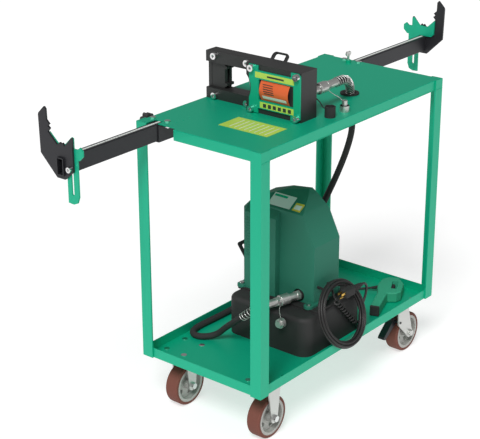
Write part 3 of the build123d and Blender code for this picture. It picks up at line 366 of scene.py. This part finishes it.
def block(name: str, centre: Vector, size: Point, finish: Finish, body: str = "table",
          turn: Point = (0, 0, 0), round_by: float = 0.0) -> bpy.types.Object:
    """A box, with rounded edges if asked.

    Args:
        name: The piece's name.
        centre: Its middle, in metres.
        size: Its size along X, Y and Z, in millimetres.
        finish: Its finish.
        body: The CAD body that carries it.
        turn: Rotation about X, Y and Z, in radians.
        round_by: Edge radius in millimetres.

    Returns:
        The piece.
    """
    bpy.ops.mesh.primitive_cube_add(size=1, location=centre, rotation=turn, scale=[s / 1000 for s in size])
    piece = bpy.context.object
    bpy.ops.object.transform_apply(location=False, rotation=False, scale=True)
    if round_by:
        bevel = piece.modifiers.new("round", "BEVEL")
        bevel.width = round_by / 1000
        bevel.segments = 3
        bpy.ops.object.modifier_apply(modifier=bevel.name)
    return settle(piece, name, finish, body)


def rod(name: str, start: Vector, end: Vector, radius: float, finish: Finish, body: str = "table",
        end_radius: float | None = None) -> bpy.types.Object:
    """A round bar or cone between two points.

    Args:
        name: The piece's name.
        start: One end, in metres.
        end: The other end, in metres.
        radius: Radius at the start, in millimetres.
        finish: Its finish.
        body: The CAD body that carries it.
        end_radius: Radius at the end, in millimetres.

    Returns:
        The piece.
    """
    run = end - start
    turn = run.to_track_quat("Z", "Y").to_euler()
    last = radius if end_radius is None else end_radius
    bpy.ops.mesh.primitive_cone_add(vertices=40, radius1=radius / 1000, radius2=last / 1000, depth=run.length,
                                    location=(start + end) / 2, rotation=turn)
    piece = settle(bpy.context.object, name, finish, body)
    bpy.ops.object.shade_smooth_by_angle(angle=math.radians(35))
    return piece


def hang_curve(name: str, points: Sequence[Vector], radius: float, finish: Finish,
               body: str = "table", order: int = 3) -> bpy.types.Object:
    """A NURBS curve with a round section.

    Args:
        name: The piece's name.
        points: Its control points, in metres.
        radius: Section radius in millimetres.
        finish: Its finish.
        body: The CAD body that carries it.
        order: The curve's order.

    Returns:
        The curve.
    """
    data = bpy.data.curves.new(name, "CURVE")
    data.dimensions = "3D"
    data.bevel_depth = radius / 1000
    data.bevel_resolution = 4
    data.use_fill_caps = True
    spline = data.splines.new("NURBS")
    spline.points.add(len(points) - 1)
    for point, place in zip(spline.points, points):
        point.co = (*place, 1.0)
    spline.order_u = order
    spline.use_endpoint_u = True
    spline.resolution_u = 8
    piece = bpy.data.objects.new(name, data)
    bpy.context.scene.collection.objects.link(piece)
    return settle(piece, name, finish, body)


def label(name: str, corners: Sequence[Vector], finish: Finish, body: str = "table",
          thick: float = 0.4) -> bpy.types.Object:
    """A thin flat label through its corners.

    Args:
        name: The piece's name.
        corners: The outline in order, in metres, anticlockwise from outside.
        finish: Its finish.
        body: The CAD body that carries it.
        thick: Thickness in millimetres.

    Returns:
        The label.
    """
    mesh = bpy.data.meshes.new(name)
    mesh.from_pydata([tuple(c) for c in corners], [], [tuple(range(len(corners)))])
    piece = bpy.data.objects.new(name, mesh)
    bpy.context.scene.collection.objects.link(piece)
    bpy.ops.object.select_all(action="DESELECT")
    piece.select_set(True)
    bpy.context.view_layer.objects.active = piece
    body_of_label = piece.modifiers.new("thick", "SOLIDIFY")
    body_of_label.thickness = thick / 1000
    body_of_label.offset = 1.0
    bpy.ops.object.modifier_apply(modifier=body_of_label.name)
    return settle(piece, name, finish, body)


def plane_label(name: str, frame_at: Callable[[float, float], Vector], low: tuple[float, float],
                high: tuple[float, float], finish: Finish, body: str = "table") -> bpy.types.Object:
    """A rectangular label in a plane.

    Args:
        name: The piece's name.
        frame_at: Turns two in-plane millimetre values into a place.
        low: The low corner.
        high: The high corner.
        finish: Its finish.
        body: The CAD body that carries it.

    Returns:
        The label.
    """
    corners = [frame_at(low[0], low[1]), frame_at(high[0], low[1]), frame_at(high[0], high[1]),
               frame_at(low[0], high[1])]
    return label(name, corners, finish, body)


# ---------------------------------------------------------------- camera, floor and light
@dataclass
class Studio:
    """Camera, pale floor and soft light."""

    camera_place: Point = (-3.32881, -2.48906, 2.21443)
    camera_turn: Point = (1.185988, 0.002745, -0.886472)
    lens: float = 107.535
    sensor: float = 36.0
    backdrop: float = 0.24

    def build(self) -> None:
        """Set up the view and the light."""
        data = bpy.data.cameras.new("camera")
        data.lens = self.lens
        data.sensor_width = self.sensor
        data.clip_end = 60
        data.dof.use_dof = False
        camera = bpy.data.objects.new("camera", data)
        camera.location = self.camera_place
        camera.rotation_euler = self.camera_turn
        bpy.context.scene.collection.objects.link(camera)
        bpy.context.scene.camera = camera
        self.floor()
        self.sun("key", (math.radians(42), math.radians(6), math.radians(-72)), 2.6, 0.35)
        self.sun("fill", (math.radians(55), math.radians(-4), math.radians(10)), 0.3, 0.8)
        world = bpy.data.worlds.new("world")
        world.use_nodes = True
        world.node_tree.nodes["Background"].inputs["Color"].default_value = (1, 1, 1, 1)
        world.node_tree.nodes["Background"].inputs["Strength"].default_value = self.backdrop
        bpy.context.scene.world = world
        bpy.context.scene.view_settings.view_transform = "Standard"
        log.info("studio ready")

    def floor(self) -> None:
        """A plain pale floor, round and wide."""
        bpy.ops.mesh.primitive_circle_add(vertices=96, radius=14, fill_type="NGON", location=(0, 0, 0))
        floor = bpy.context.object
        floor.name = "floor"
        material = bpy.data.materials.new("floor")
        material.use_nodes = True
        shader = material.node_tree.nodes["Principled BSDF"]
        shader.inputs["Base Color"].default_value = (0.5, 0.5, 0.5, 1)
        shader.inputs["Roughness"].default_value = 0.9
        shader.inputs["Emission Color"].default_value = (1, 1, 1, 1)
        shader.inputs["Emission Strength"].default_value = 0.6
        floor.data.materials.append(material)

    def sun(self, name: str, turn: Point, strength: float, spread: float) -> None:
        """One distant soft light.

        Args:
            name: The light's name.
            turn: Its rotation in radians.
            strength: Its strength.
            spread: Its angular size in radians.
        """
        data = bpy.data.lights.new(name, "SUN")
        data.energy = strength
        data.angle = spread
        light = bpy.data.objects.new(name, data)
        light.rotation_euler = turn
        bpy.context.scene.collection.objects.link(light)


# ---------------------------------------------------------------- hose
HOSE_TURN = math.radians(15)
PUMP_PORT = at(-86, -83, 345)
PUMP_OUT = Vector((-math.cos(HOSE_TURN), math.sin(HOSE_TURN), 0))
HEAD_PORT = at(-110, -130, TOP + 70)
HOSE_OUT = 130.0
TRAY_HOSE_Z = TRAY + 10.4


@dataclass
class Hose:
    """The pressure hose with its spring guards."""

    radius: float = 10.0

    def route(self) -> list[Vector]:
        """The hose's own points.

        Returns:
            Points from the head's fitting to the pump's.
        """
        z = TRAY_HOSE_Z
        middle = [
            (52, -130, 1008), (82, -124, 999), (108, -116, 979), (129, -105, 955), (140, -98, 918),
            (147, -99, 878), (150, -104, 826), (147, -86, 752), (143, -60, 680), (141, -28, 606), (140, 8, 530),
            (141, 46, 454), (140, 82, 384), (137, 116, 320), (129, 148, 264), (112, 175, 226), (82, 194, 206),
            (38, 203, z), (-22, 205, z), (-95, 202, z), (-170, 205, z), (-207, 206.5, z), (-229, 206, z),
            (-250, 203, z), (-268, 194, z), (-278, 177, z), (-276, 157, z), (-265, 141, z + 0.5),
            (-252, 126, z + 3), (-243, 106, 216), (-243, 82, 241), (-248, 48, 270), (-253, 16, 296),
            (-254, -10, 317), (-249, -32, 336),
        ]
        points = [HEAD_PORT + Vector((HOSE_OUT / 1000, 0, 0))]
        points += [at(*place) for place in middle]
        points += [PUMP_PORT + PUMP_OUT * ((HOSE_OUT + 24) / 1000), PUMP_PORT + PUMP_OUT * (HOSE_OUT / 1000)]
        return points

    def build(self) -> None:
        """Make the hose and its guards."""
        points = self.route()
        hose = hang_curve("pressure_hose", points, self.radius, RUBBER)
        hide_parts("hydraulic_hose")
        self.guard("head_hose_guard", points[0] - Vector((0.006, 0, 0)), points[:7], 15)
        self.guard("pump_hose_guard", points[-1] - PUMP_OUT * 0.006, list(reversed(points[-6:])), 9)

    def guard(self, name: str, start: Vector, points: Sequence[Vector], turns: int) -> None:
        """A wire guard wound along the first stretch of the hose.

        Args:
            name: The guard's name.
            start: Where it begins.
            points: The hose's points that it follows.
            turns: Number of turns.
        """
        track = [start, *points[1:]]
        lengths = [0.0]
        for a, b in zip(track, track[1:]):
            lengths.append(lengths[-1] + (b - a).length)
        reach = min(lengths[-1] * 0.92, 0.011 * turns)
        steps = turns * 14
        wound = []
        for i in range(steps + 1):
            travelled = reach * i / steps
            k = max(j for j in range(len(track) - 1) if lengths[j] <= travelled)
            share = (travelled - lengths[k]) / (lengths[k + 1] - lengths[k])
            centre = track[k].lerp(track[k + 1], share)
            run = (track[k + 1] - track[k]).normalized()
            if k + 2 < len(track):
                run = run.lerp((track[k + 2] - track[k + 1]).normalized(), share / 2).normalized()
            side = run.cross(Vector((0.2, 0.3, 1))).normalized()
            up = run.cross(side).normalized()
            angle = 2 * math.pi * turns * i / steps
            radius = (self.radius + 2.4 + (1.6 * (1 - i / steps))) / 1000
            wound.append(centre + side * (radius * math.cos(angle)) + up * (radius * math.sin(angle)))
        hang_curve(name, wound, 1.3, ZINC)


# ---------------------------------------------------------------- cords of the pump
@dataclass
class PowerCord:
    """The coiled power cord and its plug."""

    coil_r: float = 98.0
    bundle_r: float = 8.6
    cord_r: float = 4.0
    turns: float = 5.625
    tilt: float = math.radians(22)

    def build(self) -> None:
        """Make the cord in one run from the shroud through the coil to the plug."""
        centre = at(-26, -206, 296)
        across = Vector((1, 0, 0))
        up = Vector((0, math.sin(self.tilt), math.cos(self.tilt)))
        out = Vector((0, -math.cos(self.tilt), math.sin(self.tilt)))
        points = [at(-66, -140, 380), at(-66, -152, 380), at(-68, -162, 379)]
        start = math.radians(120)
        steps = int(self.turns * 18)
        for i in range(steps + 1):
            angle = start + 2 * math.pi * self.turns * i / steps
            twist = -math.pi / 2 + (angle - start) / 6
            outward = across * math.cos(angle) + up * math.sin(angle)
            radius = self.coil_r + self.bundle_r * math.cos(twist)
            points.append(centre + outward * (radius / 1000) + out * (self.bundle_r * math.sin(twist) / 1000))
        points += [at(*p) for p in ((84, -206, 291), (96, -205.5, 308), (102, -206, 328), (99, -208, 347),
                                    (86, PLUG_Y, PLUG_Z), (70, PLUG_Y, PLUG_Z))]
        cord = hang_curve("power_cord", points, self.cord_r, CORD)
        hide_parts("power_cord_coil")
        plug = self.plug()

    def plug(self) -> list[bpy.types.Object]:
        """The plug's moulded body and brass prongs.

        Returns:
            The pieces on the cord.
        """
        body = block("plug_body", at(-2, PLUG_Y, PLUG_Z), (46, 28, 26), RUBBER, round_by=6)
        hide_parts("power_plug")
        relief = rod("plug_relief", at(20, PLUG_Y, PLUG_Z), at(69, PLUG_Y, PLUG_Z), 10, RUBBER, end_radius=6.0)
        pieces = [body, relief]
        for i in range(4):
            x = 29 + i * 9
            low, high = at(x, PLUG_Y, PLUG_Z), at(x + 4, PLUG_Y, PLUG_Z)
            pieces.append(rod(f"plug_rib_{i}", low, high, 10.6 - i, RUBBER))
        for i, (dy, dz) in enumerate(((-6.5, 5), (6.5, 5))):
            pieces.append(block(f"plug_blade_{i}", at(-35, PLUG_Y + dy, PLUG_Z + dz), (20, 1.8, 6.5), BRASS))
        pieces.append(rod("plug_earth", at(-24, PLUG_Y, PLUG_Z - 7), at(-45, PLUG_Y, PLUG_Z - 7), 2.4, BRASS))
        return pieces


@dataclass
class ControlCord:
    """The hand control's cord: a lead, a curled length and the run over the tray."""

    cord_r: float = 3.5
    curl_r: float = 6.0
    curl_turns: int = 9

    def build(self) -> None:
        """Make the cord in one run."""
        z = TRAY + self.cord_r + 0.4
        points = [at(*p) for p in ((-16, -140, 376), (-16, -156, 376), (-28, -168, 362), (-40, -184, 348))]
        start, end = at(-46, -193, 340), at(58, -193, 232)
        run = end - start
        side = Vector((0, 1, 0))
        up = run.cross(side).normalized()
        steps = self.curl_turns * 14
        for i in range(steps + 1):
            angle = 2 * math.pi * self.curl_turns * i / steps
            centre = start + run * (i / steps)
            points.append(centre + (side * math.sin(angle) + up * math.cos(angle)) * (self.curl_r / 1000))
        points += [at(*p) for p in (
            (66, -193, 223), (76, -193, 211), (96, -189, 200), (120, -174, z), (136, -148, z), (145, -112, z),
            (160, -70, z), (186, -30, z), (222, 2, z), (262, 18, z), (300, 10, z), (328, -16, z + 1),
            (346, -46, 202), (357, -68, 206), (363, -80.5, 209.3))]
        cord = hang_curve("control_cord", points, self.cord_r, CORD)
        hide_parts("pendant_cord_curl", "pump_cords")
        rod("control_relief", at(353, -60, 204.6), at(363, -80.5, 209.3), 4.2, RUBBER, end_radius=6.5)


# ---------------------------------------------------------------- trim
@dataclass
class TableTrim:
    """Scale strips, the ruled line on the shelf and small marks."""

    def build(self) -> None:
        """Make the trim of the table and arms."""
        top = 934.8
        left = plane_label("left_arm_scale", lambda x, y: at(x, y, top), (-795, 172.5), (-414, 180.5),
                           WHITE, "left_arm")
        right = plane_label("right_arm_scale", lambda x, y: at(x, y, top), (462, 102), (862, 110),
                            WHITE, "right_arm")
        for i in range(37):
            x = -790 + i * 10.16
            width = 1.1 if i % 5 else 1.8
            block(f"left_tick_{i}", at(x, 176.5, top + 0.45), (width, 4 if i % 5 else 7, 0.2), INK, "left_arm")
        for side in (-1, 1):
            for x in (-438, 438):
                rod(f"leg_weld_{side}_{x}", at(x - 18, side * 228.2, TOP - 31), at(x + 18, side * 228.2, TOP - 31),
                    1.6, TABLE_PAINT)
        rod("shelf_seam", at(-419, -224.2, TOP - 31.6), at(419, -224.2, TOP - 31.6), 0.9, TABLE_PAINT)


GUARD_X = -188.3


@dataclass
class HeadTrim:
    """Labels and the guard window's card of the shear head, the shelf card, and the dust caps' straps, chains and metal
    caps.
    """

    block_front: float = -183.0

    def build(self) -> None:
        """Make the head's trim."""
        z = TOP + 73

        self.window(z)
        plane_label("head_band_top", lambda y, h: at(GUARD_X, y, h), (8, z + 35), (-132, z + 52), LIME)
        plane_label("head_band_low", lambda y, h: at(GUARD_X, y, h), (-10, z - 53), (-132, z - 35), LIME)
        for i in range(6):
            y = -22 - i * 18
            plane_label(f"head_sign_{i}", lambda a, h: at(GUARD_X - 0.5, a, h), (y, z - 50), (y - 11, z - 39), INK)
        plane_label("head_band_mark", lambda a, h: at(GUARD_X - 0.5, a, h), (-36, z + 41), (-96, z + 46), INK)
        card = [at(x, y, TOP + 0.2) for x, y in ((-340, -155), (-248.5, -155), (-248.5, 20), (-340, 20))]
        label("shelf_card", card, LIME)
        for i in range(8):
            y = -140 + i * 18
            plane_label(f"shelf_card_line_{i}", lambda a, b: at(a, b, TOP + 0.7), (-330, y), (-262, y + 2.2), WHITE)
        self.leash()

    def window(self, z: float) -> None:
        """The rounded notice in the guard's window.

        Args:
            z: Height of the head's middle.
        """
        steps = 12
        low, high = z - 30, z + 30
        for name, finish, span, lift in (("notice", ORANGE, (-12, -116), 0.0),
                                         ("notice_band", WHITE, (-22, -108), 0.6)):
            rows = []
            for i in range(steps + 1):
                share = i / steps
                if name == "notice_band":
                    share = 0.12 + 0.16 * share
                bulge = 12 * math.sin(math.pi * share) + lift
                rows.append((self.block_front - 0.4 - bulge, low + (high - low) * share))
            vertices = [tuple(at(x, y, h)) for x, h in rows for y in span]
            faces = [(2 * i, 2 * i + 1, 2 * i + 3, 2 * i + 2) for i in range(steps)]
            mesh = bpy.data.meshes.new(name)
            mesh.from_pydata(vertices, [], faces)
            piece = bpy.data.objects.new(name, mesh)
            bpy.context.scene.collection.objects.link(piece)
            settle(piece, name, finish)
            bpy.ops.object.shade_smooth_by_angle(angle=math.radians(40))
        for i in range(5):
            share = 0.42 + 0.1 * i
            x = self.block_front - 0.9 - 12 * math.sin(math.pi * share)
            h = low + (high - low) * share
            block(f"notice_line_{i}", at(x, -48 + i * 2, h), (1.0, 36, 2.2), INK)

    def leash(self) -> None:
        """Straps and chains of the dust caps."""
        strap = [at(-83, -168, TOP + 22), at(-86, -160, TOP + 24), at(-92, -156, TOP + 40), at(-102, -150, TOP + 52),
                 at(-109, -146, TOP + 60)]
        hang_curve("cap_strap", strap, 1.6, RUBBER)
        chain = [at(-15, -181, TOP + 30), at(-18, -172, TOP + 40), at(-26, -156, TOP + 48), at(-34, -144, TOP + 58),
                 at(-38, -140, TOP + 66)]
        hang_curve("head_chain", chain, 1.1, ZINC)
        chain = [at(-192, -98, 302), at(-184, -86, 316), at(-170, -72, 326), at(-154, -67, 334), at(-146, -66, 336)]
        hang_curve("pump_chain", chain, 1.1, ZINC)
        self.metal_caps()

    def metal_caps(self) -> None:
        """Bright caps over the plain ones."""
        cap = rod("head_cap", at(-15, -187, TOP), at(-15, -187, TOP + 19), 14.2, ZINC)
        rod("head_cap_nose", at(-15, -187, TOP + 18), at(-15, -187, TOP + 33.4), 8.2, ZINC)
        rod("pump_cap", at(-189.8, -100, 296), at(-204.2, -100, 296), 15.2, ZINC)
        rod("pump_cap_nose", at(-204, -100, 296), at(-212.3, -100, 296), 10.2, ZINC)


@dataclass
class PumpTrim:
    """Labels and louvres of the shroud, and the tank's feet."""

    base: float = 323.7

    def build(self) -> None:
        """Make the pump's trim."""
        for i in range(15):
            z = self.base + 112 + i * 9
            block(f"louvre_{i}", at(-108.6, 88, z), (1.6, 38, 3.4), SHROUD, round_by=0.7)
        self.roof_labels()
        for side in (-1, 1):
            rod(f"tank_foot_{side}", at(-140, -26 + side * 110, TRAY), at(-140, -26 + side * 110, TRAY + 0.6), 18, TANK)

    def roof_labels(self) -> None:
        """Labels on the sloped front of the roof."""
        foot = Vector((-86, 0, self.base + 285))
        head = Vector((0, 0, self.base + 339))
        out = Vector((-0.532, 0, 0.847))
        above = Vector((-0.0006, 0, 0.0006))

        def on_roof(y: float, share: float) -> Vector:
            place = foot.lerp(head, share) + out
            return at(place.x, y, place.z)

        plane_label("shroud_label", on_roof, (45, 0.08), (-38, 0.55), WHITE)
        plane_label("shroud_label_band", lambda y, s: on_roof(y, s) + above, (40, 0.42), (-8, 0.5), TABLE_PAINT)
        plane_label("shroud_notice", on_roof, (-47, 0.08), (-78, 0.38), YELLOW)
        plane_label("shroud_notice_text", lambda y, s: on_roof(y, s) + above, (-51, 0.14), (-74, 0.3), WHITE)


@dataclass
class ControlTrim:
    """The dark end of the hand control's grip."""

    def build(self) -> None:
        """Make the hand control's trim."""
        block("grip_end", at(203.5, -172, TRAY + 18.6), (9, 31, 34.6), RUBBER,
              turn=(0, 0, math.radians(19.7)), round_by=3)


def main() -> None:
    """Build the looks."""
    logging.basicConfig(level=logging.INFO)
    bpy.context.scene.render.film_transparent = False
    Studio().build()
    dress_cad_nodes()
    Hose().build()
    PowerCord().build()
    ControlCord().build()
    TableTrim().build()
    HeadTrim().build()
    PumpTrim().build()
    ControlTrim().build()


if __name__ == "__main__":
    main()
